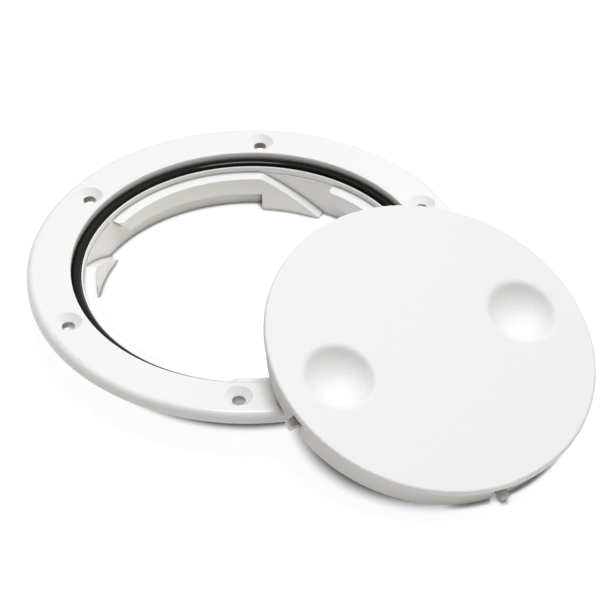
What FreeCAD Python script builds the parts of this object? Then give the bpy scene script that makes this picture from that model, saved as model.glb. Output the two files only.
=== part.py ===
import FreeCAD
import Part
import math
import os

# A round deck inspection plate: a flanged ring with bayonet ledges, its seal, and the lid taken off.
# The origin is the centre of the screw circle on the underside of the flange, where the deck is.
# Z points up, out of the deck. Sizes are in millimetres and angles in degrees.

# Flange and screw holes, outward from the seal channel
SCREW_FROM_CHANNEL = 6.2
SCREW_FROM_RIM = 8.2
FLANGE_THICKNESS = 4.3
FLANGE_SHOULDER = 2.1
FLANGE_LOWER_EDGE = 0.4
FLANGE_INNER_EDGE = 0.4
SCREW_COUNT = 6
SCREW_START_ANGLE = 30.0
SCREW_HOLE_DIAMETER = 4.2
COUNTERSINK_DIAMETER = 9.0
COUNTERSINK_ANGLE = 100.0

# Seal channel, with the thin lip on its inner side
CHANNEL_WIDTH = 3.4
CHANNEL_FLOOR_DEPTH = 5.25
CHANNEL_WALL = 2.3
LIP_WIDTH = 0.5
LIP_DEPTH = 3.45
SEAL_SECTION = 3.0

# Collar through the deck
CLEAR_RADIUS = 50.9
LEDGE_WIDTH = 3.7
BORE_STEP = 0.3
COLLAR_WALL = 2.6
COLLAR_DEPTH = 14.4
COLLAR_LOWER_EDGE = 0.5

# Bayonet ledges and the lift wedges beside them
LEDGE_COUNT = 4
LEDGE_STOP_ANGLE = 88.5
ENTRY_PLAY_ANGLE = 0.4
LEDGE_SEAT_DEPTH = 5.65
LEDGE_THICKNESS_AT_STOP = 6.6
LEDGE_THICKNESS_AT_ENTRY = 5.6
LEAD_IN_SWEEP = 5.3
LEDGE_CORNER = 1.6
WEDGE_SWEEP = 23.0
WEDGE_TOE = 0.3

# Lid disc and finger recesses
DISC_CLEARANCE = 2.1
DISC_EDGE = 2.0
DISC_ROUNDING = 0.8
LID_TOP_WALL = 2.6
RECESS_FROM_EDGE = 19.3
RECESS_DIAMETER = 22.0
RECESS_DEPTH = 6.0
RECESS_ROUNDING = 2.5
RECESS_WALL = 2.2

# Lid skirt and its lugs, each with a slot on the side that faces its nearer neighbour
SKIRT_CLEARANCE = 0.8
SKIRT_WALL = 2.2
SKIRT_DEPTH = 12.6
SKIRT_LOWER_EDGE = 0.4
LUG_PAIR_ANGLE = 5.7
LUG_PAIR_SPREAD = 82.8
LUG_WIDTH = 2.9
LUG_REACH = 1.9
LUG_HEIGHT = 2.1
LUG_PLAY = 0.2
LUG_ROUNDING = 0.6
SLOT_WIDTH = 1.65

# Where the lid lies: its lowest point on the floor, its skirt on the flange's shoulder
LID_FOOT_BEYOND_FLANGE = 46.3
LID_FOOT_ANGLE = -43.4
LID_LEAN_ANGLE = -50.3
LID_TURN = 32.0
LID_SEAT_GAP = 0.1

# Worked out from the sizes above
FLANGE_TOP = FLANGE_THICKNESS
COLLAR_BOTTOM = -COLLAR_DEPTH
COLLAR_BORE = CLEAR_RADIUS + LEDGE_WIDTH
LIP_BORE = COLLAR_BORE + BORE_STEP
CHANNEL_INNER = LIP_BORE + LIP_WIDTH
CHANNEL_OUTER = CHANNEL_INNER + CHANNEL_WIDTH
COLLAR_RADIUS = COLLAR_BORE + COLLAR_WALL
HOUSING_RADIUS = CHANNEL_OUTER + CHANNEL_WALL
SCREW_CIRCLE_RADIUS = CHANNEL_OUTER + SCREW_FROM_CHANNEL
FLANGE_RADIUS = SCREW_CIRCLE_RADIUS + SCREW_FROM_RIM
CHANNEL_FLOOR = FLANGE_TOP - CHANNEL_FLOOR_DEPTH
HOUSING_BOTTOM = CHANNEL_FLOOR - CHANNEL_WALL
LIP_TOP = FLANGE_TOP - LIP_DEPTH
LEDGE_TOP = FLANGE_TOP - LEDGE_SEAT_DEPTH
DISC_RADIUS = LIP_BORE - DISC_CLEARANCE
RECESS_OFFSET = DISC_RADIUS - RECESS_FROM_EDGE
SKIRT_RADIUS = CLEAR_RADIUS - SKIRT_CLEARANCE
LUG_TIP = CLEAR_RADIUS + LUG_REACH
LUG_TOP = -(DISC_EDGE + LEDGE_THICKNESS_AT_STOP + LUG_PLAY)
LUG_BOTTOM = LUG_TOP - LUG_HEIGHT
LUG_SWEEP = 2 * math.degrees(math.asin(LUG_WIDTH / 2 / CLEAR_RADIUS))
FLOOR = COLLAR_BOTTOM

# The lugs drop in between the ledges' ends and the wedges, so the ledges stop short by what they need
LEDGE_PITCH = 360 / LEDGE_COUNT
WEDGE_RISE = LEDGE_TOP - COLLAR_BOTTOM - WEDGE_TOE
LUG_OVER_TOE = LEDGE_TOP + DISC_EDGE + LUG_BOTTOM - COLLAR_BOTTOM - WEDGE_TOE
ROOM_OVER_WEDGE = WEDGE_SWEEP * LUG_OVER_TOE / WEDGE_RISE
ENTRY_SWEEP = LUG_SWEEP + LEDGE_PITCH - LUG_PAIR_SPREAD + ENTRY_PLAY_ANGLE
LEDGE_SWEEP = LEDGE_PITCH - WEDGE_SWEEP + ROOM_OVER_WEDGE - ENTRY_SWEEP

# Small overlap that lets solids join cleanly, and how far a cutting tool runs past what it cuts
BITE = 0.4
PAST = 2.0

UP = FreeCAD.Vector(0, 0, 1)
ORIGIN = FreeCAD.Vector(0, 0, 0)


def turned_profile(points, sweep=360):
    """Revolve a closed outline of (radius, height) points about Z."""
    corners = [FreeCAD.Vector(radius, 0, height) for radius, height in points]
    outline = Part.makePolygon(corners + corners[:1])
    return Part.Face(outline).revolve(ORIGIN, UP, sweep)


def round_edges(shape, radius, height):
    """The full circular edges of a turned shape at one radius and height."""
    found = []
    for edge in shape.Edges:
        if edge.Degenerated or not isinstance(edge.Curve, Part.Circle):
            continue
        same_radius = abs(edge.Curve.Radius - radius) < 1e-4
        same_height = abs(edge.Curve.Center.z - height) < 1e-4
        if same_radius and same_height:
            found.append(edge)
    return found


def rounded(shape, rounding, radius, height):
    return shape.makeFillet(rounding, round_edges(shape, radius, height))


def ring_body():
    """Flange, channel, lip and collar as one turned section."""
    body = turned_profile([
        (FLANGE_RADIUS, 0),
        (FLANGE_RADIUS, FLANGE_TOP),
        (CHANNEL_OUTER, FLANGE_TOP),
        (CHANNEL_OUTER, CHANNEL_FLOOR),
        (CHANNEL_INNER, CHANNEL_FLOOR),
        (CHANNEL_INNER, LIP_TOP),
        (LIP_BORE, LIP_TOP),
        (LIP_BORE, LEDGE_TOP),
        (COLLAR_BORE, LEDGE_TOP),
        (COLLAR_BORE, COLLAR_BOTTOM),
        (COLLAR_RADIUS, COLLAR_BOTTOM),
        (COLLAR_RADIUS, HOUSING_BOTTOM),
        (HOUSING_RADIUS, HOUSING_BOTTOM),
        (HOUSING_RADIUS, 0),
    ])
    body = rounded(body, FLANGE_SHOULDER, FLANGE_RADIUS, FLANGE_TOP)
    body = rounded(body, FLANGE_LOWER_EDGE, FLANGE_RADIUS, 0)
    body = rounded(body, FLANGE_INNER_EDGE, CHANNEL_OUTER, FLANGE_TOP)
    body = rounded(body, COLLAR_LOWER_EDGE, COLLAR_RADIUS, COLLAR_BOTTOM)
    return body


def screw_hole():
    """Through hole with its countersink, on the X axis of the screw circle."""
    place = FreeCAD.Vector(SCREW_CIRCLE_RADIUS, 0, 0)
    hole_radius = SCREW_HOLE_DIAMETER / 2
    sink_radius = COUNTERSINK_DIAMETER / 2
    slope = math.tan(math.radians(COUNTERSINK_ANGLE / 2))
    sink_depth = (sink_radius - hole_radius) / slope
    top_radius = sink_radius + PAST * slope
    hole = Part.makeCylinder(hole_radius, FLANGE_THICKNESS + 2 * PAST, place - UP * PAST)
    sink_start = place + UP * (FLANGE_TOP - sink_depth)
    sink = Part.makeCone(hole_radius, top_radius, sink_depth + PAST, sink_start)
    return hole.fuse(sink)


def screw_holes():
    holes = []
    for index in range(SCREW_COUNT):
        hole = screw_hole()
        hole.rotate(ORIGIN, UP, SCREW_START_ANGLE + index * 360 / SCREW_COUNT)
        holes.append(hole)
    return holes


def helix_line(radius, start_angle, start_height, sweep, rise):
    line = Part.makeHelix(rise * 360 / sweep, rise, radius).Edges[0]
    line.translate(UP * start_height)
    line.rotate(ORIGIN, UP, start_angle)
    return line


def ramp_tool(start_angle, start_height, sweep, rise, extrusion):
    """All that lies above or below a helical ramp that climbs counter-clockwise."""
    inner = helix_line(CLEAR_RADIUS - PAST, start_angle, start_height, sweep, rise)
    outer = helix_line(COLLAR_BORE + PAST, start_angle, start_height, sweep, rise)
    return Part.makeRuledSurface(inner, outer).extrude(UP * extrusion)


def longer_ramp(start_angle, start_height, sweep, rise, before, after):
    """The same slope, run on past its two ends by so many degrees."""
    slope = rise / sweep
    return (
        start_angle - before,
        start_height - before * slope,
        sweep + before + after,
        rise + (before + after) * slope,
    )


def bayonet_ledge():
    """One ledge with its cam underside, lead-in and lift wedge, before it is turned to its place."""
    wedge_angle = LEDGE_STOP_ANGLE - WEDGE_SWEEP
    end_angle = LEDGE_STOP_ANGLE + LEDGE_SWEEP
    band = turned_profile([
        (CLEAR_RADIUS, COLLAR_BOTTOM),
        (COLLAR_BORE + BITE, COLLAR_BOTTOM),
        (COLLAR_BORE + BITE, LEDGE_TOP),
        (CLEAR_RADIUS, LEDGE_TOP),
    ], WEDGE_SWEEP + LEDGE_SWEEP)
    band.rotate(ORIGIN, UP, wedge_angle)
    band = band.makeFillet(LEDGE_CORNER, [ledge_corner(band, end_angle)])
    tall = LEDGE_TOP - COLLAR_BOTTOM + 2 * PAST
    stop_height = LEDGE_TOP - LEDGE_THICKNESS_AT_STOP
    entry_height = LEDGE_TOP - LEDGE_THICKNESS_AT_ENTRY
    toe_height = COLLAR_BOTTOM + WEDGE_TOE
    above_wedge = ramp_tool(
        *longer_ramp(wedge_angle, toe_height, WEDGE_SWEEP, LEDGE_TOP - toe_height, PAST, PAST), tall)
    cam_sweep = LEDGE_SWEEP - LEAD_IN_SWEEP
    below_ledge = ramp_tool(
        *longer_ramp(LEDGE_STOP_ANGLE, stop_height, cam_sweep, entry_height - stop_height, 0, PAST),
        -tall)
    lead_in = ramp_tool(
        *longer_ramp(end_angle - LEAD_IN_SWEEP, entry_height, LEAD_IN_SWEEP,
                     LEDGE_TOP - entry_height, PAST / 2, PAST), -tall)
    return band.cut([above_wedge, below_ledge, lead_in])


def ledge_corner(band, end_angle):
    """The upright edge at the free inner corner of the ledge's band."""
    turn = math.radians(end_angle)
    corner = FreeCAD.Vector(CLEAR_RADIUS * math.cos(turn), CLEAR_RADIUS * math.sin(turn), 0)
    middle = corner + UP * ((LEDGE_TOP + COLLAR_BOTTOM) / 2)
    return min(band.Edges, key=lambda edge: edge.CenterOfMass.distanceToPoint(middle))


def deck_ring():
    ledges = []
    for index in range(LEDGE_COUNT):
        ledge = bayonet_ledge()
        ledge.rotate(ORIGIN, UP, index * 360 / LEDGE_COUNT)
        ledges.append(ledge)
    ring = ring_body().fuse(ledges).cut(screw_holes())
    return ring.removeSplitter()


def seal_ring():
    """Round rubber ring lying on the channel's floor, midway between its walls."""
    radius = (CHANNEL_INNER + CHANNEL_OUTER) / 2
    height = CHANNEL_FLOOR + SEAL_SECTION / 2
    return Part.makeTorus(radius, SEAL_SECTION / 2, UP * height)


def lid_shell():
    """Disc and skirt as one turned section, with the disc's top at height 0."""
    skirt_bore = SKIRT_RADIUS - SKIRT_WALL
    shell = turned_profile([
        (0, 0),
        (DISC_RADIUS, 0),
        (DISC_RADIUS, -DISC_EDGE),
        (SKIRT_RADIUS, -DISC_EDGE),
        (SKIRT_RADIUS, -SKIRT_DEPTH),
        (skirt_bore, -SKIRT_DEPTH),
        (skirt_bore, -LID_TOP_WALL),
        (0, -LID_TOP_WALL),
    ])
    shell = rounded(shell, DISC_ROUNDING, DISC_RADIUS, 0)
    shell = rounded(shell, SKIRT_LOWER_EDGE, SKIRT_RADIUS, -SKIRT_DEPTH)
    return shell


def recess_ball(place, wall):
    """The ball that shapes a finger recess, or its underside when a wall is added."""
    half = RECESS_DIAMETER / 2
    radius = (half * half + RECESS_DEPTH * RECESS_DEPTH) / (2 * RECESS_DEPTH)
    centre = FreeCAD.Vector(place, 0, radius - RECESS_DEPTH)
    return Part.makeSphere(radius + wall, centre)


def with_finger_recesses(shell):
    for place in (RECESS_OFFSET, -RECESS_OFFSET):
        below_disc = Part.makeBox(4 * RECESS_DIAMETER, 4 * RECESS_DIAMETER, SKIRT_DEPTH,
                                  FreeCAD.Vector(place - 2 * RECESS_DIAMETER, -2 * RECESS_DIAMETER,
                                                 BITE - LID_TOP_WALL - SKIRT_DEPTH))
        shell = shell.fuse(recess_ball(place, RECESS_WALL).common(below_disc))
        shell = shell.cut(recess_ball(place, 0))
    rims = round_edges(shell, RECESS_DIAMETER / 2, 0)
    return shell.makeFillet(RECESS_ROUNDING, rims).removeSplitter()


def radial_block(inner, outer, width, bottom, top, offset):
    """A block that lies along the X axis from one radius to another."""
    corner = FreeCAD.Vector(inner, offset - width / 2, bottom)
    return Part.makeBox(outer - inner, width, top - bottom, corner)


def lug_gaps():
    """A window above a lug, the slot beside it and the cut below it, on the X axis."""
    inner = SKIRT_RADIUS - SKIRT_WALL - PAST
    outer = SKIRT_RADIUS + PAST
    bottom = -SKIRT_DEPTH - PAST
    width = LUG_WIDTH + SLOT_WIDTH
    middle = SLOT_WIDTH / 2
    beside = (LUG_WIDTH + SLOT_WIDTH) / 2
    return [
        radial_block(inner, outer, width, LUG_TOP, -LID_TOP_WALL, middle),
        radial_block(inner, outer, width, bottom, LUG_BOTTOM, middle),
        radial_block(inner, outer, SLOT_WIDTH, bottom, -LID_TOP_WALL, beside),
    ]


def lug():
    """A lug with a rounded nose, standing out of the skirt on the X axis."""
    inner = SKIRT_RADIUS - SKIRT_WALL / 2
    block = radial_block(inner, LUG_TIP, LUG_WIDTH, LUG_BOTTOM, LUG_TOP, 0)
    nose = [edge for edge in block.Edges if edge.BoundBox.XMin > LUG_TIP - 1e-3]
    return block.makeFillet(LUG_ROUNDING, nose)


def on_pairs(shape):
    """A shape of the X axis at all four lugs: the second of a pair mirrors the first."""
    first = shape.copy()
    first.rotate(ORIGIN, UP, LUG_PAIR_ANGLE)
    second = shape.mirror(ORIGIN, FreeCAD.Vector(0, 1, 0))
    second.rotate(ORIGIN, UP, LUG_PAIR_ANGLE + LUG_PAIR_SPREAD)
    placed = [first, second]
    for near in (first, second):
        far = near.copy()
        far.rotate(ORIGIN, UP, 180)
        placed.append(far)
    return placed


def lid_closed():
    """The lid in its own frame, with its recesses along the X axis."""
    body = with_finger_recesses(lid_shell())
    for gap in lug_gaps():
        body = body.cut(on_pairs(gap))
    return body.fuse(on_pairs(lug())).removeSplitter()


def flange_profile(radius):
    """Height of the flange's upper side at a radius, or None past its edges."""
    if radius < CHANNEL_OUTER or radius > FLANGE_RADIUS:
        return None
    into_shoulder = radius - (FLANGE_RADIUS - FLANGE_SHOULDER)
    if into_shoulder <= 0:
        return FLANGE_TOP
    return FLANGE_TOP - FLANGE_SHOULDER + math.sqrt(FLANGE_SHOULDER ** 2 - into_shoulder ** 2)


def skirt_gap(tilt):
    """Least height of the skirt's lower face over the flange when its lowest point is on the floor."""
    foot = math.radians(LID_FOOT_ANGLE)
    lean = math.radians(LID_LEAN_ANGLE)
    foot_distance = FLANGE_RADIUS + LID_FOOT_BEYOND_FLANGE
    sink = SKIRT_LOWER_EDGE * (math.cos(tilt) + math.sin(tilt) - 1)
    least = math.inf
    for radius in (SKIRT_RADIUS, SKIRT_RADIUS - SKIRT_WALL):
        for step in range(720):
            turn = math.radians(step / 2)
            uphill = SKIRT_RADIUS - radius * math.cos(turn)
            across = radius * math.sin(turn)
            flat = uphill * math.cos(tilt)
            x = foot_distance * math.cos(foot) - flat * math.cos(lean) - across * math.sin(lean)
            y = foot_distance * math.sin(foot) - flat * math.sin(lean) + across * math.cos(lean)
            flange = flange_profile(math.hypot(x, y))
            if flange is not None:
                least = min(least, FLOOR + uphill * math.sin(tilt) - sink - flange)
    return least


def lean_tilt():
    """The tilt at which the skirt just clears the flange, found by halving."""
    low = 0.0
    high = math.radians(60)
    while high - low > 1e-6:
        middle = (low + high) / 2
        if skirt_gap(middle) < LID_SEAT_GAP:
            low = middle
        else:
            high = middle
    return high


def lid():
    """The lid where it lies: turned, leaned over, and set down on the floor."""
    tilt = lean_tilt()
    lean = math.radians(LID_LEAN_ANGLE)
    foot = math.radians(LID_FOOT_ANGLE)
    hinge = FreeCAD.Vector(-math.sin(lean), math.cos(lean), 0)
    downhill = FreeCAD.Vector(math.cos(lean), math.sin(lean), 0)
    shape = lid_closed()
    shape.rotate(ORIGIN, UP, LID_TURN)
    lowest = downhill * SKIRT_RADIUS - UP * SKIRT_DEPTH
    shape.translate(lowest * -1)
    shape.rotate(ORIGIN, hinge, math.degrees(tilt))
    foot_distance = FLANGE_RADIUS + LID_FOOT_BEYOND_FLANGE
    shape.translate(FreeCAD.Vector(foot_distance * math.cos(foot), foot_distance * math.sin(foot), 0))
    return set_down(shape)


def set_down(shape):
    """Move a shape straight down or up until its lowest point is on the floor."""
    reach = 4 * FLANGE_RADIUS
    corner = FreeCAD.Vector(-reach, -reach, FLOOR - reach)
    level = Part.makePlane(2 * reach, 2 * reach, corner)
    shape.translate(UP * (reach - shape.distToShape(level)[0]))
    return shape


def main():
    os.makedirs("parts", exist_ok=True)
    pieces = {"deck_ring": deck_ring(), "seal_ring": seal_ring(), "lid": lid()}
    for name, shape in pieces.items():
        solid = shape.Solids[0]
        print(name, "solids", len(shape.Solids), "valid", shape.isValid(), "volume", round(solid.Volume))
        solid.exportStep("parts/" + name + ".step")


main()
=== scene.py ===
import math

import bpy
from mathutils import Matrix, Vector

# A round deck inspection plate with its lid taken off and leaning on the ring.
# The three pieces come from the frame. This script gives them their finish, and adds floor, light
# and camera. Lengths are in metres.

MILLIMETRE = 0.001

# Camera, as solved from the photograph: its roll in degrees, its lens and sensor in millimetres,
# and how near and far it sees
CAMERA_PLACE = (0.03852, -0.60320, 0.50553)
CAMERA_LOOK = (-0.02782, 0.75856, -0.65100)
CAMERA_ROLL = 0.07
CAMERA_LENS = 143.58
SENSOR_WIDTH = 36.0
CAMERA_NEAR = 0.01
CAMERA_FAR = 20.0

# Floor: where it is, the white that lights the object, and how the camera sees it.
# Like a lit table it has a glow of its own. Painted shadows take that glow away, all but a little.
FLOOR_HEIGHT = -14.4 * MILLIMETRE
FLOOR_SIZE = 6.0
FLOOR_BOUNCE = (0.93, 0.91, 0.87)
FLOOR_GLOW = 0.93
FLOOR_WHITE = 0.14
FLOOR_DARKEST = 0.11

# A painted round shadow on the floor under the flange, and one under the lid, stand in for the shade
# of overhead light. Each has a radius where it is full and one where it ends. The floor seen through
# the ring has neither.
RING_PLACE = (0, 0)
HOLE_RADIUS = 55 * MILLIMETRE
PAINTED_FLANGE_SHADOW = (57.5 * MILLIMETRE, 62 * MILLIMETRE)
LID_PLACE = (59 * MILLIMETRE, -49 * MILLIMETRE)
PAINTED_LID_SHADOW = (38.6 * MILLIMETRE, 46.6 * MILLIMETRE)

# Shade painted where light is kept out: into the floor's glow at a contact, and into the plastic's colour
# close against another surface and deep in its own hollows. Each shade has a reach, and how open a place
# is where the shade is full and where it ends. So many directions are tried to tell how open it is.
OPENNESS_SAMPLES = 8
PAINTED_CONTACT_SHADE = (2.5 * MILLIMETRE, 0.5, 0.85)
PAINTED_CREVICE_SHADE = (2.5 * MILLIMETRE, 0.25, 0.7)
PAINTED_HOLLOW_SHADE = (10 * MILLIMETRE, 0.42, 0.55)

# Surroundings: dark at the horizon, bright above, and brighter towards the back right
SKY_HORIZON = -0.06
SKY_ZENITH = 0.865
SKY_LEAN = 0.45
SKY_LEAN_ANGLE = 50.0
SKY_WARM = (1.0, 0.9, 0.65)
SKY_COOL = (0.98, 0.973, 1.0)

# Softbox overhead, which shines nearly straight down
SOFTBOX_PLACE = (0.04, -0.02, 1.1)
SOFTBOX_TARGET = (0.04, -0.03, 0.0)
SOFTBOX_SIZE = 0.45
SOFTBOX_POWER = 6.55
SOFTBOX_COLOUR = (0.87, 0.902, 1.0)

# Noise in the surfaces: its size, how many finer layers it has, and how strong they are.
# The grain of each plastic piece has a size of its own.
CLOUD = (9 * MILLIMETRE, 3.0, 0.5)
DUST = (1.5 * MILLIMETRE, 4.0, 0.6)
GRAIN_LAYERS = (2.0, 0.6)

# Plastic: its refractive index, what clouds multiply its colour by where they are darkest, how far
# they change its roughness either way, how finely a soft edge is sampled, and each piece's finish
# with the colour of its painted shade
PLASTIC_REFRACTION = 1.46
CLOUD_TINT = 0.992
CLOUD_ROUGHNESS = 0.03
EDGE_SAMPLES = 6
RING_FINISH = {
    "colour": (0.935, 0.931, 0.91),
    # Painted shade: the colour that the ring's crevices and hollows are darkened to
    "painted_shade_colour": (0.12, 0.095, 0.065),
    "roughness": 0.25,
    "grain_size": 0.5 * MILLIMETRE,
    "grain_depth": 0.006 * MILLIMETRE,
    "edge_radius": 0.12 * MILLIMETRE,
}
LID_FINISH = {
    "colour": (0.9, 0.898, 0.88),
    # Painted shade: the colour that the lid's crevices and hollows are darkened to
    "painted_shade_colour": (0.5, 0.46, 0.38),
    "roughness": 0.5,
    "grain_size": 0.8 * MILLIMETRE,
    "grain_depth": 0.12 * MILLIMETRE,
    "edge_radius": 0.2 * MILLIMETRE,
}

# Rubber: its refractive index, its colour where it is clean and where it is dusty, and its lowest
# and highest roughness
RUBBER_REFRACTION = 1.32
RUBBER_BLACK = (0.0024, 0.0024, 0.0024)
RUBBER_DUSTY = (0.0064, 0.0064, 0.0064)
RUBBER_ROUGHNESS = (0.05, 0.09)


def new_material(name):
    """A material and its tree of nodes, which is still empty."""
    material = bpy.data.materials.new(name)
    material.use_nodes = True
    tree = material.node_tree
    tree.nodes.clear()
    return material, tree


def node(tree, kind, **values):
    """Add a node, with its settings."""
    made = tree.nodes.new(kind)
    for name, value in values.items():
        setattr(made, name, value)
    return made


def set_inputs(made, **values):
    """Set constants on a node's inputs. An underscore stands for a space in an input's name."""
    for name, value in values.items():
        made.inputs[name.replace("_", " ")].default_value = value


def feed(tree, value, socket):
    """Link one socket to another, or set a constant on it."""
    if isinstance(value, bpy.types.NodeSocket):
        tree.links.new(value, socket)
    else:
        socket.default_value = value


def rgba(colour):
    """A colour with full alpha."""
    return (*colour, 1.0)


def calculate(tree, operation, first, second):
    """A calculation with two values. Each is a socket or a number."""
    made = node(tree, "ShaderNodeMath", operation=operation)
    feed(tree, first, made.inputs[0])
    feed(tree, second, made.inputs[1])
    return made.outputs["Value"]


def blend(tree, factor, first, second):
    """The first colour where the factor is 0, the second where it is 1, and a mix between."""
    mix = node(tree, "ShaderNodeMix", data_type="RGBA")
    feed(tree, factor, mix.inputs["Factor"])
    feed(tree, first, mix.inputs["A"])
    feed(tree, second, mix.inputs["B"])
    return mix.outputs["Result"]


def ease(tree, value, start, end):
    """0 up to the start, 1 from the end on, and a smooth rise between."""
    rise = node(tree, "ShaderNodeMapRange", interpolation_type="SMOOTHSTEP")
    set_inputs(rise, From_Min=start, From_Max=end)
    feed(tree, value, rise.inputs["Value"])
    return rise.outputs["Result"]


def between(tree, value, low, high, clamp=True):
    """The low end where the value is 0 and the high end where it is 1."""
    spread = node(tree, "ShaderNodeMapRange", clamp=clamp)
    set_inputs(spread, To_Min=low, To_Max=high)
    feed(tree, value, spread.inputs["Value"])
    return spread.outputs["Result"]


def noise(tree, size, detail, roughness):
    """Cloudy values around a half that stay where they are on the piece."""
    place = node(tree, "ShaderNodeTexCoord")
    cloud = node(tree, "ShaderNodeTexNoise")
    set_inputs(cloud, Scale=1 / size, Detail=detail, Roughness=roughness)
    feed(tree, place.outputs["Object"], cloud.inputs["Vector"])
    return cloud.outputs["Fac"]


def openness(tree, shade, own=False):
    """0 where surfaces within reach, or only the piece's own, close a place in, and 1 where it is open."""
    reach, full, end = shade
    near = node(tree, "ShaderNodeAmbientOcclusion", samples=OPENNESS_SAMPLES, only_local=own)
    set_inputs(near, Distance=reach)
    return ease(tree, near.outputs["AO"], full, end)


def surface(tree, refraction, colour, roughness):
    """The shader on a material's surface, with its colour and its roughness."""
    shader = node(tree, "ShaderNodeBsdfPrincipled")
    set_inputs(shader, IOR=refraction)
    feed(tree, colour, shader.inputs["Base Color"])
    feed(tree, roughness, shader.inputs["Roughness"])
    output = node(tree, "ShaderNodeOutputMaterial")
    feed(tree, shader.outputs["BSDF"], output.inputs["Surface"])
    return shader


def grain_and_edges(tree, grain_size, grain_depth, edge_radius):
    """Surface directions with a fine grain and softened edges."""
    edge = node(tree, "ShaderNodeBevel", samples=EDGE_SAMPLES)
    set_inputs(edge, Radius=edge_radius)
    bump = node(tree, "ShaderNodeBump")
    set_inputs(bump, Strength=1.0, Distance=grain_depth)
    feed(tree, noise(tree, grain_size, *GRAIN_LAYERS), bump.inputs["Height"])
    feed(tree, edge.outputs["Normal"], bump.inputs["Normal"])
    return bump.outputs["Normal"]


def plastic(name, colour, painted_shade_colour, roughness, grain_size, grain_depth, edge_radius):
    """Moulded plastic: painted dark warm shade where light is kept out, a fine grain, a little uneven
    gloss.
    """
    material, tree = new_material(name)
    cloud = noise(tree, *CLOUD)
    cloudy_colour = rgba([part * CLOUD_TINT for part in colour])
    tint = blend(tree, cloud, cloudy_colour, rgba(colour))
    # Painted shade: the colour darkens towards the painted shade colour where the plastic is closed in
    crevice = openness(tree, PAINTED_CREVICE_SHADE)
    hollow = openness(tree, PAINTED_HOLLOW_SHADE, own=True)
    lit = calculate(tree, "MULTIPLY", crevice, hollow)
    shaded = blend(tree, lit, rgba(painted_shade_colour), tint)
    uneven = between(tree, cloud, roughness - CLOUD_ROUGHNESS, roughness + CLOUD_ROUGHNESS)
    shader = surface(tree, PLASTIC_REFRACTION, shaded, uneven)
    feed(tree, grain_and_edges(tree, grain_size, grain_depth, edge_radius), shader.inputs["Normal"])
    return material


def rubber(name):
    """Black seal rubber with a smooth, slightly oily shine and faint dust."""
    material, tree = new_material(name)
    dust = noise(tree, *DUST)
    tint = blend(tree, dust, rgba(RUBBER_BLACK), rgba(RUBBER_DUSTY))
    surface(tree, RUBBER_REFRACTION, tint, between(tree, dust, *RUBBER_ROUGHNESS))
    return material


def dress(name, material):
    """Give a piece of the frame its finish, in every slot that it has."""
    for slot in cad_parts[name].material_slots:
        slot.material = material


def distance_from(tree, centre):
    """Distance over the floor from a place on it."""
    place = node(tree, "ShaderNodeTexCoord")
    away = node(tree, "ShaderNodeVectorMath", operation="DISTANCE")
    feed(tree, place.outputs["Object"], away.inputs[0])
    feed(tree, (*centre, 0), away.inputs[1])
    return away.outputs["Value"]


def painted_round_shadow(tree, centre, shade):
    """0 in the middle of a round painted shadow and 1 outside it."""
    full, end = shade
    return ease(tree, distance_from(tree, centre), full, end)


def painted_floor_shadow(tree):
    """Painted floor shadow: 1 on the open floor and in the ring, less at a contact, under the flange and
    lid.
    """
    under_flange = painted_round_shadow(tree, RING_PLACE, PAINTED_FLANGE_SHADOW)
    under_lid = painted_round_shadow(tree, LID_PLACE, PAINTED_LID_SHADOW)
    outside = calculate(tree, "MULTIPLY", under_flange, under_lid)
    in_ring = calculate(tree, "LESS_THAN", distance_from(tree, RING_PLACE), HOLE_RADIUS)
    soft = calculate(tree, "MAXIMUM", outside, in_ring)
    shade = calculate(tree, "MULTIPLY", soft, openness(tree, PAINTED_CONTACT_SHADE))
    return calculate(tree, "MAXIMUM", shade, FLOOR_DARKEST)


def floor_material():
    """White floor. Camera and gloss see its glow under painted shadows, with faint real shadow; other light
    white.
    """
    material, tree = new_material("floor_white")
    path = node(tree, "ShaderNodeLightPath")
    seen = calculate(tree, "MAXIMUM", path.outputs["Is Camera Ray"], path.outputs["Is Glossy Ray"])

    bounce = node(tree, "ShaderNodeBsdfDiffuse")
    set_inputs(bounce, Color=rgba(FLOOR_BOUNCE))
    glow = node(tree, "ShaderNodeEmission")
    # Painted shadow: the glow is darkened at a contact, under the flange and under the lid
    feed(tree, calculate(tree, "MULTIPLY", painted_floor_shadow(tree), FLOOR_GLOW), glow.inputs["Strength"])
    white = node(tree, "ShaderNodeBsdfDiffuse")
    set_inputs(white, Color=rgba([FLOOR_WHITE] * 3))
    shown = node(tree, "ShaderNodeAddShader")
    feed(tree, glow.outputs["Emission"], shown.inputs[0])
    feed(tree, white.outputs["BSDF"], shown.inputs[1])

    choice = node(tree, "ShaderNodeMixShader")
    feed(tree, seen, choice.inputs["Fac"])
    feed(tree, bounce.outputs["BSDF"], choice.inputs[1])
    feed(tree, shown.outputs["Shader"], choice.inputs[2])
    output = node(tree, "ShaderNodeOutputMaterial")
    feed(tree, choice.outputs["Shader"], output.inputs["Surface"])
    return material


def make_floor():
    """A wide square floor under the object."""
    half = FLOOR_SIZE / 2
    corners = [(-half, -half, 0), (half, -half, 0), (half, half, 0), (-half, half, 0)]
    mesh = bpy.data.meshes.new("floor")
    mesh.from_pydata(corners, [], [(0, 1, 2, 3)])
    floor = bpy.data.objects.new("floor", mesh)
    floor.location = (0, 0, FLOOR_HEIGHT)
    mesh.materials.append(floor_material())
    bpy.context.scene.collection.objects.link(floor)


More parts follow.
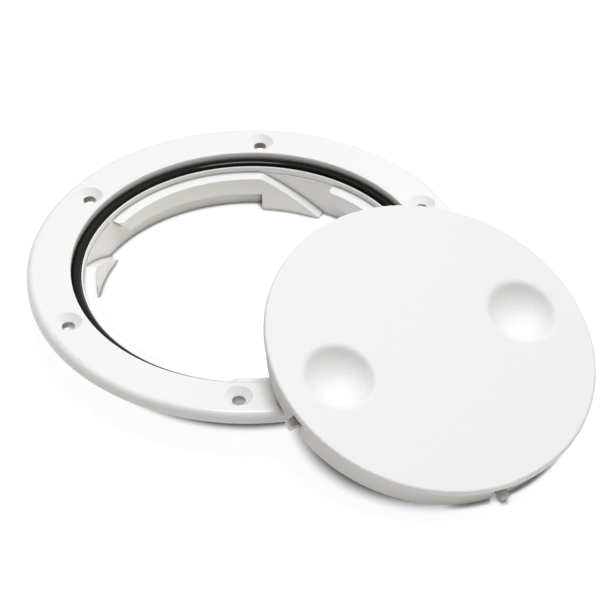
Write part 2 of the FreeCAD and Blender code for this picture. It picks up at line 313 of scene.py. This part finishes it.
def make_sky():
    """Soft studio surroundings: brighter above and towards one side, and warm where they are dim."""
    world = bpy.data.worlds.new("studio")
    world.use_nodes = True
    bpy.context.scene.world = world
    tree = world.node_tree
    tree.nodes.clear()
    place = node(tree, "ShaderNodeTexCoord")
    split = node(tree, "ShaderNodeSeparateXYZ")
    feed(tree, place.outputs["Generated"], split.inputs["Vector"])
    height = between(tree, split.outputs["Z"], SKY_HORIZON, SKY_ZENITH, clamp=False)

    lean = node(tree, "ShaderNodeVectorMath", operation="DOT_PRODUCT")
    angle = math.radians(SKY_LEAN_ANGLE)
    feed(tree, place.outputs["Generated"], lean.inputs[0])
    feed(tree, (SKY_LEAN * math.cos(angle), SKY_LEAN * math.sin(angle), 0), lean.inputs[1])
    both = calculate(tree, "ADD", height, lean.outputs["Value"])
    strength = calculate(tree, "MAXIMUM", both, 0.0)

    light = node(tree, "ShaderNodeBackground")
    feed(tree, blend(tree, strength, rgba(SKY_WARM), rgba(SKY_COOL)), light.inputs["Color"])
    feed(tree, strength, light.inputs["Strength"])
    output = node(tree, "ShaderNodeOutputWorld")
    feed(tree, light.outputs["Background"], output.inputs["Surface"])


def aim(thing, direction):
    """Turn a lamp or a camera so that it looks in a direction, with its top up."""
    thing.rotation_mode = "QUATERNION"
    thing.rotation_quaternion = Vector(direction).to_track_quat("-Z", "Y")


def make_softbox():
    """A round soft light above the object."""
    light = bpy.data.lights.new("softbox", "AREA")
    light.shape = "DISK"
    light.size = SOFTBOX_SIZE
    light.energy = SOFTBOX_POWER
    light.color = SOFTBOX_COLOUR
    lamp = bpy.data.objects.new("softbox", light)
    lamp.location = SOFTBOX_PLACE
    aim(lamp, Vector(SOFTBOX_TARGET) - lamp.location)
    bpy.context.scene.collection.objects.link(lamp)


def make_camera():
    """The camera that took the photograph, with the small roll that it had."""
    lens = bpy.data.cameras.new("camera")
    lens.lens = CAMERA_LENS
    lens.sensor_width = SENSOR_WIDTH
    lens.clip_start = CAMERA_NEAR
    lens.clip_end = CAMERA_FAR
    camera = bpy.data.objects.new("camera", lens)
    camera.location = CAMERA_PLACE
    aim(camera, CAMERA_LOOK)
    camera.rotation_mode = "XYZ"
    camera.rotation_euler = camera.rotation_quaternion.to_euler()
    camera.rotation_euler.rotate_axis("Z", math.radians(CAMERA_ROLL))
    bpy.context.scene.collection.objects.link(camera)
    bpy.context.scene.camera = camera


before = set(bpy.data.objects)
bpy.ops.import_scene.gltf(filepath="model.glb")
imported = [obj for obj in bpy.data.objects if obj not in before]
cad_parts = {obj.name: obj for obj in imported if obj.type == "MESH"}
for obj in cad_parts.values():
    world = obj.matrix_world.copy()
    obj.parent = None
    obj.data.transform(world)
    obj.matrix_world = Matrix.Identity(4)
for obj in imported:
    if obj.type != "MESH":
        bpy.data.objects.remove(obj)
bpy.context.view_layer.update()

dress("deck_ring", plastic("ring_plastic", **RING_FINISH))
dress("lid", plastic("lid_plastic", **LID_FINISH))
dress("seal_ring", rubber("seal_rubber"))

make_floor()
make_sky()
make_softbox()
make_camera()
bpy.context.scene.view_settings.view_transform = "Standard"
